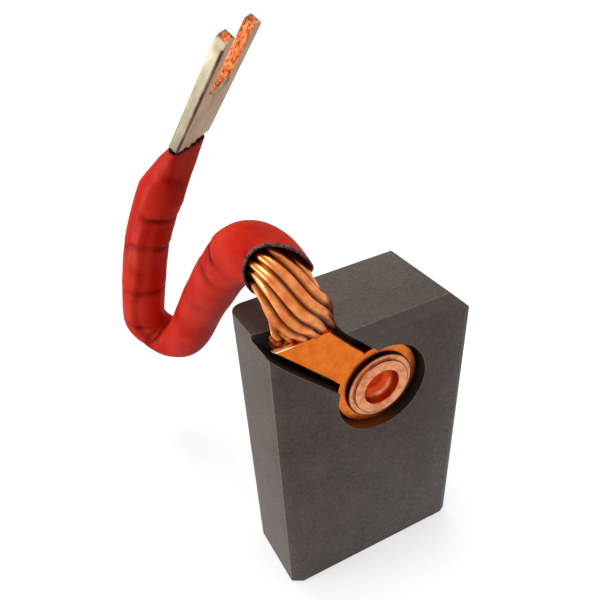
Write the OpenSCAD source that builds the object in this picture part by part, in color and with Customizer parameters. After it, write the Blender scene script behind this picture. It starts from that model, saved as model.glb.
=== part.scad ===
// Carbon brush with a flexible copper shunt: a graphite block, a copper connector
// riveted in a recess of its front face, a stranded rope in a woven sleeve, and a
// slotted terminal. Millimetres, +Z up. The origin is the centre of the running
// face, which is the block's bottom; the connector's side is -Y.

/* [Block] */
// Width of the block along X
block_w = 50.8; // [25:0.1:64]
// Thickness of the block along Y
block_t = 22.2; // [16:0.1:32]
// Length of the block from running face to top
block_l = 79.4; // [50:0.1:100]
// Leg of the 45 degree cut along the top right edge
corner_cut = 6.9; // [0:0.1:10]
// Chamfer of the front left upright edge, along X
edge_left_x = 2.8; // [0.5:0.1:4]
// Chamfer of the front left upright edge, along Y
edge_left_y = 1.6; // [0.5:0.1:4]
// Chamfer of the front right upright edge, along X
edge_right_x = 2; // [0.5:0.1:4]
// Chamfer of the front right upright edge, along Y
edge_right_y = 1; // [0.5:0.1:4]
// Radius of the back left upright edge
edge_back_left = 3.4; // [0.5:0.1:5]
// Radius of the back right upright edge
edge_back_right = 1.8; // [0.5:0.1:5]

/* [Recess and slot] */
// Distance of the rivet's axis right of the block's middle
rivet_x = 1.5; // [-5:0.1:5]
// Height of the rivet's axis above the running face
rivet_z = 59.4; // [50:0.1:66]
// Radius of the round recess
recess_r = 11.75; // [10:0.05:14]
// Depth of the recess
recess_d = 4.8; // [3:0.1:7]
// Width of the slot that runs from the recess to the top left corner
slot_w = 12.7; // [10:0.1:14]
// How far the slot's axis stands above the rivet's diagonal
slot_shift = 0.7; // [0:0.1:2]
// Slope of the slot's floor, degrees
slot_slope = 9.1; // [9:0.1:12]
// Radius of the counterbore in the back face
back_recess_r = 9.5; // [8:0.1:12]
// Depth of the counterbore in the back face
back_recess_d = 3.2; // [2:0.1:5]

/* [Connector] */
// Radius of the eye
eye_r = 10.7; // [8:0.1:11.5]
// How far the eye's front lies below the block's front face
eye_drop = 2.4; // [1:0.1:4]
// Thickness of one wall of the copper tube
tube_wall = 1.2; // [0.8:0.1:1.8]
// Width of the tongue next to the eye
tongue_w = 8.9; // [6:0.1:10]
// Width of the tube at its mouth
mouth_w = 9.4; // [7:0.1:11]
// Depth of the tube at its mouth
mouth_d = 6.4; // [5:0.1:7]

/* [Rivet] */
// Outer radius of the rivet's shank
shank_r = 5.5; // [4:0.05:6.5]
// Radius of the hollow in the rivet's front end
hollow_r = 4.6; // [3:0.05:5]
// Outer radius of the rolled lip
lip_r = 7.3; // [6:0.1:8]
// Outer radius of the washer under the lip
washer_r = 8.7; // [8:0.1:9.5]
// Thickness of the washer under the lip
washer_t = 1.2; // [0.6:0.1:1.6]

/* [Cord] */
// Radius of the rope inside the sleeve
rope_r = 5; // [4:0.1:5.2]
// Outer radius of the sleeve
sleeve_r = 6.2; // [5.8:0.1:6.4]
// Wall of the sleeve
sleeve_wall = 0.6; // [0.4:0.1:0.9]

/* [Terminal] */
// Length of the terminal
term_l = 35.5; // [30:0.5:42]
// Width of the terminal
term_w = 12.8; // [11:0.1:15]
// Thickness of the terminal
term_t = 2.7; // [2.2:0.1:3.4]
// Width of the slot for the terminal screw
term_slot = 6.6; // [6.4:0.1:8]
// Distance of the slot's round end from the terminal's base
term_arc = 20.5; // [18:0.5:24]
// Leg of the chamfer on the outer corners of the tip
term_chamfer = 2; // [0.5:0.1:3]

/* [Hidden] */
eps = 0.01;
over = 5;
front_y = -block_t / 2;
back_y = block_t / 2;
left_x = -block_w / 2;
right_x = block_w / 2;

// The eye's stack of parts, measured from the front face inwards.
eye_front = front_y + eye_drop;
eye_t = 2 * tube_wall;
eye_back = eye_front + eye_t;
washer_front = eye_front - washer_t;
lip_t = 1.1;
lip_front = washer_front - lip_t;
lip_round = 0.5;
bore_clear = 0.05;
rivet_bore_r = shank_r + bore_clear;
hollow_depth = 4;
hollow_chamfer = 0.4;
head_r = 8;
head_t = 1.8;
head_chamfer = 0.4;
head_front = back_y - back_recess_d;
edge_facets = 16;

// The tube runs along the slot, 45 degrees up to the left.
slot_turn = -135;
tube_start = 1;
mouth_reach = 42;
// The tube's faces lie a hair inside the eye's, and it deepens towards its mouth.
tube_inset = 0.03;
flat_d = eye_t - 2 * tube_inset;
mouth_s = (block_l - rivet_z) * sqrt(2);
tube_slope = (mouth_d - flat_d) / (mouth_s - tube_start);
far_d = flat_d + tube_slope * (mouth_reach - tube_start);
cavity_start = 12;
cavity_d = flat_d + tube_slope * (cavity_start - tube_start) - 2 * tube_wall;
bend_r = 1.6;
tube_r = 3;
round_facets = 32;

// The cord's route: round points in millimetres from the connector's mouth to
// the terminal's base, followed by a cubic B-spline.
route = [
  [-17.5, -5.5, 79.4], [-17.7, -6.1, 83], [-18, -6.5, 87], [-18.3, -5.3, 91.2],
  [-18.8, -1, 94.4], [-19.6, 5.5, 94.8], [-20.4, 11.4, 92], [-21.2, 17, 87],
  [-21.8, 23, 80.5], [-22.3, 30, 72.5], [-22.9, 37, 65], [-23.8, 43, 56.5],
  [-24.8, 49, 48.5], [-25.2, 54.8, 42.2], [-28.4, 59.8, 40.3], [-31.8, 63.4, 42.8],
  [-34.6, 64.2, 48], [-33.9, 61.6, 55.5], [-32.6, 59.6, 63.5], [-30.8, 59.2, 71.6],
  [-27.8, 59, 79.3], [-25, 56.8, 87], [-21.6, 54.8, 93], [-18.3, 52.4, 98.7],
  [-15.4, 50, 104]
];
steps = 3;
sides = 12;
last = len(route) - 1;
term_base = route[last];
term_turn = [129, -7, 28];
// Width axis and length axis of the terminal, as that turn leaves them.
term_across = [0.876, 0.466, 0.122];
term_along = [0.212, -0.6, 0.771];
straight_up = [0, 0, 1];
twist_from = 18;
// The pressed end of the rope in the terminal.
tip_w = 10.4;
tip_t = 1.5;
tip_l = 9;

// Half width and half depth of the rope at points of the route.
rope_keys = [[0, 5.4, 1.9], [1, 6.2, 3.4], [2, 6.2, 4.2], [3, 5.9, 4.6], [4, 5.5, 4.9],
             [5, rope_r, rope_r], [22, rope_r, rope_r], [23, 5.2, 3], [24, 5.3, 0.9]];
// Half width and half depth of the sleeve at points of the route.
mouth_at = 3.6;
sleeve_end = 23.6;
sleeve_keys = [[3.6, 6.8, 6.6], [4.4, 6.5, 6.4], [5.2, sleeve_r, sleeve_r],
               [21.5, sleeve_r, sleeve_r], [22.5, 6.5, 5], [23.6, 6.9, 3.2]];
sleeve_rings = 60;

carbon = [0.17, 0.16, 0.16];
copper = [0.78, 0.42, 0.22];
tinned = [0.72, 0.68, 0.62];
woven = [0.72, 0.12, 0.07];

// Vector helpers for the cord.
function unit(v) = v / norm(v);
function knot(i) = i < 0 ? 2 * route[0] - route[1]
  : i > last ? 2 * route[last] - route[last - 1] : route[i];
function spline(i, t) = (pow(1 - t, 3) * knot(i - 1)
  + (3 * pow(t, 3) - 6 * t * t + 4) * knot(i)
  + (1 + 3 * t + 3 * t * t - 3 * pow(t, 3)) * knot(i + 1)
  + pow(t, 3) * knot(i + 2)) / 6;
function at(s) = let (i = min(floor(s), last - 1)) spline(i, s - i);
function raw_dir(s) = unit(at(min(s + 0.05, last)) - at(max(s - 0.05, 0)));
function blend(s, from, span) = max(0, min(1, (s - from) / span));
// The ends are square to the connector's mouth and to the terminal's base.
function dir(s) = let (a = 1 - blend(s, 0, 1.2), b = blend(s, last - 1.2, 1.2))
  unit((1 - a - b) * raw_dir(s) + a * straight_up + b * term_along);
function lean(s) = let (b = blend(s, twist_from, last - twist_from))
  (1 - b) * [1, 0, 0] + b * term_across;
function side(s) = let (d = dir(s), x = lean(s)) unit(x - (x * d) * d);
function ring(s, a, b, n = sides) = let (c = at(s), x = side(s), y = cross(dir(s), x))
  [for (k = [0 : n - 1]) let (w = 360 * (k + 0.5) / n) c + a * cos(w) * x + b * sin(w) * y];
function key(keys, s, j) = lookup(s, [for (k = keys) [k[0], k[j]]]);
function turned(f) = [for (k = [len(f) - 1 : -1 : 0]) f[k]];
// Faces of a swept wall of m rings of n points, wound clockwise as seen from outside.
function wall_faces(m, n) = [for (i = [0 : m - 2], k = [0 : n - 1])
  let (a = i * n + k, b = i * n + (k + 1) % n) [a + n, b + n, b, a]];

module up_right_outline() {
  difference() {
    translate([left_x, front_y]) square([block_w, block_t]);
    translate([left_x, front_y])
      polygon([[-eps, -eps], [edge_left_x, -eps], [edge_left_x, 0], [0, edge_left_y],
               [-eps, edge_left_y]]);
    translate([right_x, front_y])
      polygon([[eps, -eps], [eps, edge_right_y], [0, edge_right_y], [-edge_right_x, 0],
               [-edge_right_x, -eps]]);
    translate([left_x, back_y]) round_corner(edge_back_left);
    translate([right_x, back_y]) mirror([1, 0]) round_corner(edge_back_right);
  }
}

module round_corner(r) {
  difference() {
    translate([-eps, -r]) square([r + eps, r + eps]);
    translate([r, -r]) circle(r = r, $fn = 48);
  }
}

// Places children on the rivet's axis, +X along the slot, +Y into the block.
module on_slot() {
  translate([rivet_x, 0, rivet_z]) rotate([0, slot_turn, 0]) children();
}

module on_axis(y) {
  translate([rivet_x, y, rivet_z]) rotate([-90, 0, 0]) children();
}

module slot_space() {
  floor_y = front_y + recess_d;
  end_y = floor_y + (mouth_reach - tube_start) * tan(slot_slope);
  on_slot() translate([0, 0, -slot_w / 2 - slot_shift]) linear_extrude(slot_w)
    polygon([[0, front_y - over], [mouth_reach, front_y - over], [mouth_reach, end_y],
             [tube_start, floor_y], [0, floor_y]]);
}

module carbon_block() {
  color(carbon) difference() {
    linear_extrude(block_l) up_right_outline();
    translate([right_x, 0, block_l]) rotate([0, 45, 0])
      cube([corner_cut * sqrt(2), block_t + over, corner_cut * sqrt(2)], center = true);
    on_axis(front_y - over) cylinder(r = recess_r, h = recess_d + over, $fn = 96);
    slot_space();
    on_axis(front_y) cylinder(r = rivet_bore_r, h = block_t, $fn = 64);
    on_axis(head_front) cylinder(r = back_recess_r, h = back_recess_d + over, $fn = 96);
  }
}

// Four corner rods of a flattened tube's section across the slot's direction. Its
// front stays in the eye's front plane, and its back corners are the rounder ones.
module tube_corners(s, w, d, front_r, back_r, shift) {
  for (k = [-1, 1]) {
    translate([s, eye_front + front_r, k * (w / 2 - front_r) - shift]) rotate([0, 90, 0])
      cylinder(r = front_r, h = eps, $fn = round_facets);
    translate([s, eye_front + d - back_r, k * (w / 2 - back_r) - shift]) rotate([0, 90, 0])
      cylinder(r = back_r, h = eps, $fn = round_facets);
  }
}

module tube_body() {
  on_slot() translate([0, tube_inset, 0]) hull() {
    tube_corners(tube_start, tongue_w, flat_d, flat_d / 2, flat_d / 2, 0);
    tube_corners(mouth_reach, mouth_w, far_d, bend_r, tube_r, slot_shift);
  }
}

// The room for the rope in the tube, one wall inside it.
module cavity() {
  on_slot() translate([0, tube_inset + tube_wall, 0]) hull() {
    tube_corners(cavity_start, tongue_w - 2 * tube_wall, cavity_d, cavity_d / 2, cavity_d / 2, 0);
    tube_corners(mouth_reach, mouth_w - 2 * tube_wall, far_d - 2 * tube_wall,
                 bend_r - tube_wall / 2, tube_r - tube_wall, slot_shift);
  }
}

module below_top() {
  intersection() {
    children();
    translate([left_x - over, front_y, 0]) cube([block_w + 2 * over, block_t, block_l]);
  }
}

module connector() {
  color(copper) below_top() difference() {
    union() {
      on_axis(eye_front) cylinder(r = eye_r, h = eye_t, $fn = 96);
      tube_body();
    }
    on_axis(eye_front - over) cylinder(r = rivet_bore_r, h = 2 * over + eye_t, $fn = 64);
    cavity();
  }
}

module rope_root() {
  color(copper) below_top() cavity();
}

module washer() {
  color(copper) on_axis(washer_front) difference() {
    cylinder(r = washer_r, h = washer_t, $fn = 96);
    translate([0, 0, -over]) cylinder(r = rivet_bore_r, h = washer_t + 2 * over, $fn = 64);
  }
}

// Semi-tubular rivet: head in the back counterbore, hollow front end rolled over.
module rivet() {
  depth = head_front - lip_front;
  color(copper) on_axis(lip_front) rotate_extrude($fn = 96)
    polygon([[0, hollow_depth], [hollow_r - hollow_chamfer, hollow_depth],
             [hollow_r, hollow_depth - hollow_chamfer], [hollow_r, lip_round],
             [hollow_r + lip_round, 0], [lip_r - lip_round, 0], [lip_r, lip_round],
             [lip_r, lip_t], [shank_r, lip_t], [shank_r, depth], [head_r, depth],
             [head_r, depth + head_t - head_chamfer], [head_r - head_chamfer, depth + head_t],
             [0, depth + head_t]]);
}

module shunt_rope() {
  n = last * steps + 1;
  points = [for (i = [0 : n - 1]) let (s = i / steps)
    each ring(s, key(rope_keys, s, 1), key(rope_keys, s, 2))];
  first = [for (k = [0 : sides - 1]) k];
  final = turned([for (k = first) k + (n - 1) * sides]);
  color(copper) polyhedron(points, concat([first, final], wall_faces(n, sides)), convexity = 8);
}

module sleeve() {
  n = sleeve_rings;
  stations = [for (i = [0 : n - 1]) mouth_at + (sleeve_end - mouth_at) * i / (n - 1)];
  outer = [for (s = stations) each ring(s, key(sleeve_keys, s, 1), key(sleeve_keys, s, 2))];
  inner = [for (s = stations)
    each ring(s, key(sleeve_keys, s, 1) - sleeve_wall, key(sleeve_keys, s, 2) - sleeve_wall)];
  m = n * sides;
  inner_walls = [for (f = wall_faces(n, sides)) turned([for (v = f) v + m])];
  start = [for (k = [0 : sides - 1]) let (j = (k + 1) % sides) [k, j, j + m, k + m]];
  e = m - sides;
  finish = [for (k = [0 : sides - 1]) let (j = (k + 1) % sides)
    [e + j, e + k, e + k + m, e + j + m]];
  color(woven) polyhedron(concat(outer, inner),
    concat(wall_faces(n, sides), inner_walls, start, finish), convexity = 8);
}

module on_terminal() {
  translate(term_base) rotate(term_turn) children();
}

module term_outline() {
  w = term_w / 2;
  c = term_chamfer;
  difference() {
    polygon([[-w, 0], [w, 0], [w, term_l - c], [w - c, term_l], [c - w, term_l], [-w, term_l - c]]);
    translate([0, term_arc]) circle(r = term_slot / 2, $fn = 64);
    translate([-term_slot / 2, term_arc]) square([term_slot, term_l]);
  }
}

module terminal() {
  color(tinned) on_terminal() difference() {
    intersection() {
      translate([0, 0, -term_t / 2]) linear_extrude(term_t) term_outline();
      rotate([-90, 0, 0]) linear_extrude(term_l) union() {
        square([term_w - term_t, term_t], center = true);
        for (k = [-1, 1]) translate([k * (term_w - term_t) / 2, 0])
          circle(r = term_t / 2, $fn = 48);
      }
    }
    translate([-tip_w / 2, -eps, -tip_t / 2]) cube([tip_w, tip_l + eps, tip_t]);
  }
}

module rope_tip() {
  color(copper) on_terminal() translate([-tip_w / 2, 0, -tip_t / 2]) cube([tip_w, tip_l, tip_t]);
}

carbon_block();
connector();
washer();
rivet();
rope_root();
shunt_rope();
sleeve();
terminal();
rope_tip();
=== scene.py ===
"""Carbon brush with a sleeved copper shunt: looks, camera and light.

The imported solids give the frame. Each sub-assembly is a class that models its
own pieces in metres, in the same frame, from sizes in millimetres, and dresses
them. A station is a place along the cord: 0 at the connector, one per point.
"""
import logging
import math
from collections.abc import Callable
from dataclasses import dataclass, field
from enum import Enum

import bmesh
import bpy
from mathutils import Matrix, Vector
from mathutils import noise as field_noise


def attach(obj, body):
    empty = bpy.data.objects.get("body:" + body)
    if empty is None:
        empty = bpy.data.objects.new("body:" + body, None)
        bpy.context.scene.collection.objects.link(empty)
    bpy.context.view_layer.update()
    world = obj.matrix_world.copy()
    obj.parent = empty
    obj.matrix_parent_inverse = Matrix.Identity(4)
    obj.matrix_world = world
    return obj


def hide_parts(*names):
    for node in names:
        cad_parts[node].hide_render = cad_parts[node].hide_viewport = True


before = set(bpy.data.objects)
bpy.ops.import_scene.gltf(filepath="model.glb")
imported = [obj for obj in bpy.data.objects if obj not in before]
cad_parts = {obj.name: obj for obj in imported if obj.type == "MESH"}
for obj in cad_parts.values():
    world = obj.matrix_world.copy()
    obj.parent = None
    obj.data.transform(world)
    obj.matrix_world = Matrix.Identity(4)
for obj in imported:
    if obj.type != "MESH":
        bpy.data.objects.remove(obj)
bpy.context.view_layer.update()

MM = 0.001
LOG = logging.getLogger("brush")
Colour = tuple[float, float, float, float]
Triple = tuple[float, float, float]
Socket = bpy.types.NodeSocket


def linear(code: str) -> Colour:
    """Turn six sRGB hex digits into a linear colour with an alpha of one."""
    parts = [int(code[i : i + 2], 16) / 255 for i in (0, 2, 4)]
    toned = [v / 12.92 if v <= 0.04045 else ((v + 0.055) / 1.055) ** 2.4 for v in parts]
    return (toned[0], toned[1], toned[2], 1.0)


def grey(value: float) -> Colour:
    """Give a grey of one linear value."""
    return (value, value, value, 1.0)


def smooth(value: float, low: float, high: float) -> float:
    """Give the smooth step of a value between two limits."""
    t = min(1.0, max(0.0, (value - low) / (high - low)))
    return t * t * (3 - 2 * t)


class Tone(Enum):
    """How the two colours of a blend meet."""

    MIX = "MIX"
    MULTIPLY = "MULTIPLY"


@dataclass(frozen=True)
class Graph:
    """A node tree, with short ways to add nodes that each give a socket."""

    tree: bpy.types.NodeTree

    def feed(self, target: Socket, value: Socket | str | float | tuple) -> None:
        """Link a socket to another, or set it to a number, a vector or a colour."""
        if isinstance(value, Socket):
            self.tree.links.new(value, target)
        else:
            target.default_value = linear(value) if isinstance(value, str) else value

    def node(self, kind: str, settings: dict | None = None, feeds: dict | None = None) -> bpy.types.Node:
        """Add one shader node.

        Args:
            kind: The node's type name, without the ShaderNode prefix.
            settings: The node's attributes, with the values to set.
            feeds: Input names or numbers, each with a socket or a value.

        Returns:
            The new node.
        """
        made = self.tree.nodes.new("ShaderNode" + kind)
        for key, value in (settings or {}).items():
            setattr(made, key, value)
        for key, value in (feeds or {}).items():
            self.feed(made.inputs[key], value)
        return made

    def ramp(self, value: Socket, *stops: tuple[float, str | float]) -> Socket:
        """Turn a value into a hex colour or a grey, by stops of a place and a tone."""
        made = self.node("ValToRGB", feeds={0: value})
        items = made.color_ramp.elements
        while len(items) < len(stops):
            items.new(0.5)
        for item, (place, tone) in zip(items, stops):
            item.position = place
            item.color = linear(tone) if isinstance(tone, str) else grey(tone)
        return made.outputs[0]

    def blend(
        self, factor: Socket | float, first: Socket | str, second: Socket | str, tone: Tone = Tone.MIX
    ) -> Socket:
        """Blend two colours, each a socket or a hex colour."""
        settings = {"data_type": "RGBA", "blend_type": tone.value}
        return self.node("Mix", settings, {0: factor, 6: first, 7: second}).outputs[2]

    def math(self, what: str, *values: Socket | float) -> Socket:
        """Work out one operation on sockets or numbers."""
        return self.node("Math", {"operation": what}, dict(enumerate(values))).outputs[0]

    def fade(self, value: Socket, low: float, high: float, start: float = 0.0, end: float = 1.0) -> Socket:
        """Turn a value between low and high into one between start and end."""
        feeds = {"Value": value, "From Min": low, "From Max": high, "To Min": start, "To Max": end}
        return self.node("MapRange", feeds=feeds).outputs[0]

    def noise(self, where: Socket, scale: float, detail: float = 2.0, roughness: float = 0.5) -> Socket:
        """Give cloudy noise over coordinates."""
        feeds = {"Vector": where, "Scale": scale, "Detail": detail, "Roughness": roughness}
        return self.node("TexNoise", feeds=feeds).outputs["Fac"]

    def split(self, vector: Socket) -> tuple[Socket, Socket, Socket]:
        """Give a vector's three parts."""
        x, y, z = self.node("SeparateXYZ", feeds={0: vector}).outputs
        return x, y, z

    def length(self, vector: Socket) -> Socket:
        """Give a vector's length."""
        return self.node("VectorMath", {"operation": "LENGTH"}, {0: vector}).outputs["Value"]

    def attribute(self, name: str) -> Socket:
        """Give a value stored on the mesh."""
        return self.node("Attribute", {"attribute_name": name}).outputs["Fac"]

    def lay(self) -> Socket:
        """Give the millimetres round and along that the mesh's UV map holds."""
        return self.node("UVMap", {"uv_map": "lay"}).outputs[0]

    def place(
        self, scale: Triple = (1, 1, 1), spin: Triple = (0, 0, 0), origin: Triple = (0, 0, 0)
    ) -> Socket:
        """Give object coordinates in millimetres, scaled, turned and from an origin."""
        feeds = {
            "Vector": self.node("TexCoord").outputs["Object"],
            "Scale": Vector(scale) / MM,
            "Rotation": spin,
            "Location": tuple(-v for v in origin),
        }
        return self.node("Mapping", feeds=feeds).outputs[0]


@dataclass(frozen=True)
class Surface(Graph):
    """A material's node tree with its principled shader."""

    material: bpy.types.Material

    def put(self, inputs: dict[str, Socket | str | float | tuple]) -> None:
        """Feed the shader's own inputs."""
        shader = self.tree.nodes["Principled BSDF"]
        for name, value in inputs.items():
            self.feed(shader.inputs[name], value)

    def bump(self, height: Socket, mm: float, strength: float) -> None:
        """Let a height from nought to one raise the surface."""
        feeds = {"Height": height, "Distance": mm * MM, "Strength": strength}
        self.put({"Normal": self.node("Bump", feeds=feeds).outputs[0]})


def surface(name: str) -> Surface:
    """Make an empty material."""
    material = bpy.data.materials.new(name)
    material.use_nodes = True
    return Surface(material.node_tree, material)


@dataclass(frozen=True)
class Finish:
    """A finish's name and its principled shader's own constants."""

    name: str
    metallic: float = 0.0
    roughness: float = 0.5
    ior: float = 1.5
    specular: float = 0.5

    def build(self) -> bpy.types.Material:
        """Make the material, with its constants and its pattern."""
        on = surface(self.name)
        on.put({"Metallic": self.metallic, "Roughness": self.roughness, "IOR": self.ior})
        on.put({"Specular IOR Level": self.specular})
        self.pattern(on)
        return on.material

    def pattern(self, on: Surface) -> None:
        """Lay the finish's own pattern on a surface."""
        raise NotImplementedError


@dataclass(frozen=True)
class Electrographite(Finish):
    """Pressed and baked electrographite, sawn and ground.

    It gives a dull dark grey with a faint warm cast, fine grain of about 0.8 mm,
    a painted sheen as a slightly paler band along the front's top, and paler edges
    that are partly wear and partly a painted edge highlight.
    """

    name: str = "electrographite_ground"
    roughness: float = 0.6
    specular: float = 0.3
    body: str = "5a4f49"
    pale: str = "645852"
    dark: str = "50463f"
    sheen_band: str = "6a5e57"
    rub_and_highlight: str = "96867c"
    sheen_band_from: float = 75.4
    sheen_band_fades: float = 1.3
    sheen_band_share: float = 0.7

    def pattern(self, on: Surface) -> None:
        """Lay clouds and grain, the painted sheen band, and the wear with its painted edge highlight stored
        on the mesh.
        """
        at = on.place()
        cloud = on.noise(at, scale=0.09, detail=5.0, roughness=0.6)
        grain = on.noise(at, scale=1.3, detail=4.0, roughness=0.7)
        tint = on.ramp(cloud, (0.3, self.dark), (0.52, self.body), (0.75, self.pale))
        speck = on.ramp(grain, (0.34, 0.82), (0.5, 1.0), (0.72, 1.2))
        colour = on.blend(1.0, tint, speck, Tone.MULTIPLY)
        # Painted sheen: a paler band on the front face's top, standing in for light on a slight rounding
        # there.
        _, _, height = on.split(at)
        level = on.math("MULTIPLY_ADD", cloud, 1.6, height)
        edge = on.fade(level, low=self.sheen_band_from, high=self.sheen_band_from + self.sheen_band_fades)
        _, facing, _ = on.split(on.node("NewGeometry").outputs["True Normal"])
        sheen_on_front = on.math("LESS_THAN", facing, -0.9)
        share = on.math("MULTIPLY", on.math("MULTIPLY", edge, sheen_on_front), self.sheen_band_share)
        colour = on.blend(share, colour, self.sheen_band)
        # Paler edges: partly wear, partly a painted highlight where light catches the narrow bevel faces.
        rubbed = on.ramp(grain, (0.36, 0.45), (0.6, 1.0))
        wear_and_highlight = on.math("MULTIPLY", on.attribute("wear_and_edge_highlight"), rubbed)
        colour = on.blend(wear_and_highlight, colour, self.rub_and_highlight)
        on.put({"Base Color": colour, "Roughness": on.ramp(grain, (0.3, 0.72), (0.7, 0.5))})
        on.bump(grain, mm=0.05, strength=0.6)


@dataclass(frozen=True)
class MilledGraphite(Finish):
    """The same carbon where a cutter milled it, coloured as painted shade.

    It gives near-black walls as painted shade, with a painted reflection of the copper on the recess's
    floor under the eye.
    """

    name: str = "electrographite_milled_shade_and_reflection"
    specular: float = 0.3
    # Near-black body: painted shade for the recess and slot walls.
    body: str = "1e1815"
    copper_reflection: str = "9a5222"
    copper_reflection_at: Triple = (-2.0, -10.5, 48.6)

    def pattern(self, on: Surface) -> None:
        """Lay the painted copper reflection and the cutter's marks."""
        # Painted reflection of the copper on the recess's floor, fading out from a point under the eye.
        from_reflection = on.length(on.place(origin=self.copper_reflection_at))
        reflected = on.fade(from_reflection, low=3.0, high=9.0, start=0.75, end=0.0)
        on.put({"Base Color": on.blend(reflected, self.body, self.copper_reflection)})
        marks = on.noise(on.place(scale=(1.0, 0.2, 1.0)), scale=1.2, detail=3.0)
        on.bump(marks, mm=0.03, strength=0.4)


@dataclass(frozen=True)
class SheetCopper(Finish):
    """Annealed copper tube, pressed flat and lightly oxidised.

    It gives a warm orange metal with soft cloudy tarnish, small dark spots and
    fine scratches along the tube, and a painted highlight on the left of the mouth's cut edge.
    """

    name: str = "copper_pressed"
    metallic: float = 1.0
    roughness: float = 0.34
    fresh: str = "de7628"
    aged: str = "c85e1c"
    spots: str = "7d3c14"
    # Colour of the painted highlight on the mouth's cut edge.
    cut: str = "fff0c8"
    glint_z: float = 78.7
    glint_x: tuple[float, float] = (-18.5, -20.5)
    scratch_spin: float = math.radians(45)

    def pattern(self, on: Surface) -> None:
        """Lay the tarnish, the spots, the painted highlight on the cut edge and the scratches."""
        at = on.place()
        cloud = on.noise(at, scale=0.35, detail=4.0, roughness=0.62)
        along = on.place(scale=(0.25, 4.0, 4.0), spin=(0, self.scratch_spin, 0))
        scratch = on.noise(along, scale=2.0, detail=3.0)
        tint = on.ramp(cloud, (0.3, self.aged), (0.62, self.fresh))
        dots = on.node("TexVoronoi", feeds={"Vector": at, "Scale": 0.55, "Randomness": 1.0})
        spot = on.ramp(dots.outputs["Distance"], (0.06, 0.5), (0.13, 0.0))
        colour = on.blend(spot, tint, self.spots)
        # Painted highlight: the top of the tube's left side, where the cut edge catches the light.
        x, _, z = on.split(at)
        high = on.math("GREATER_THAN", z, self.glint_z)
        glint_fade = on.fade(x, *self.glint_x)
        colour = on.blend(on.math("MULTIPLY", high, glint_fade), colour, self.cut)
        on.put({"Base Color": colour, "Roughness": on.ramp(scratch, (0.3, 0.26), (0.7, 0.44))})
        on.bump(scratch, mm=0.02, strength=0.5)


@dataclass(frozen=True)
class RolledCopper(Finish):
    """Copper rivet and washer, turned, then rolled over by the setting tool.

    It gives a pinker, brighter copper with fine rings 0.5 mm apart round the
    rivet's axis, a painted red reflection in its hollow, and a painted shade
    ring round the washer's foot.
    """

    name: str = "copper_rolled"
    metallic: float = 1.0
    roughness: float = 0.24
    fresh: str = "d8926a"
    aged: str = "b46a42"
    # Red of the painted reflection in the rivet's hollow, where the copper reflects itself.
    hollow: str = "c8401a"
    shade_ring: str = "2c1208"
    shade_ring_r: float = 8.6
    hollow_r: float = 4.65
    ring: float = 0.5
    centre: Triple = (1.5, 0.0, 59.4)

    def pattern(self, on: Surface) -> None:
        """Lay the tarnish, the painted reflection in the hollow, the painted shade ring at the washer's
        foot and the rings.
        """
        at = on.place(origin=self.centre)
        x, y, z = on.split(at)
        radius = on.length(on.node("CombineXYZ", feeds={0: x, 2: z}).outputs[0])
        rings = on.math("SINE", on.math("MULTIPLY", radius, 2 * math.pi / self.ring))
        cloud = on.noise(at, scale=0.6, detail=4.0)
        tint = on.ramp(cloud, (0.3, self.aged), (0.6, self.fresh))
        # Painted reflection: the hollow's floor turns red.
        deep = on.fade(y, low=-8.2, high=-7.6)
        inside = on.math("MULTIPLY", deep, on.math("LESS_THAN", radius, self.hollow_r))
        colour = on.blend(inside, tint, self.hollow)
        # Painted shade: a dark ring at the washer's foot, where its rounded edge drops away.
        rim = on.fade(radius, low=self.shade_ring_r - 0.45, high=self.shade_ring_r - 0.1)
        on.put({"Base Color": on.blend(rim, colour, self.shade_ring)})
        on.bump(rings, mm=0.015, strength=0.5)


@dataclass(frozen=True)
class DrawnWire(Finish):
    """Fine annealed copper wires, bunched into strands.

    It gives bright smooth highlights along each strand, broken by hairlines
    drawn at about 0.35 mm, wider than real wires so that they show, and a
    painted shade, a darker red, in the gaps between strands.
    """

    name: str = "copper_wire"
    metallic: float = 1.0
    roughness: float = 0.3
    bright: str = "ee9456"
    body: str = "c4642c"
    deep: str = "3c0e02"
    wires_per_mm: float = 2.9
    drift_per_mm: float = 0.07

    def pattern(self, on: Surface) -> None:
        """Lay the tarnish, the painted shade in the gaps and the hairlines."""
        across, along, _ = on.split(on.lay())
        fine = on.math("MULTIPLY", across, self.wires_per_mm)
        slow = on.math("MULTIPLY", along, self.drift_per_mm)
        hair = on.noise(on.node("CombineXYZ", feeds={0: fine, 1: slow}).outputs[0], scale=1.0)
        tint = on.ramp(on.noise(on.place(), scale=0.3), (0.3, self.body), (0.65, self.bright))
        # Painted shade: the gaps between strands darken towards the deep colour.
        colour = on.blend(on.attribute("gap"), tint, self.deep)
        on.put({"Base Color": colour, "Roughness": on.ramp(hair, (0.3, 0.2), (0.7, 0.34))})
        on.bump(hair, mm=0.07, strength=0.8)


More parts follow.
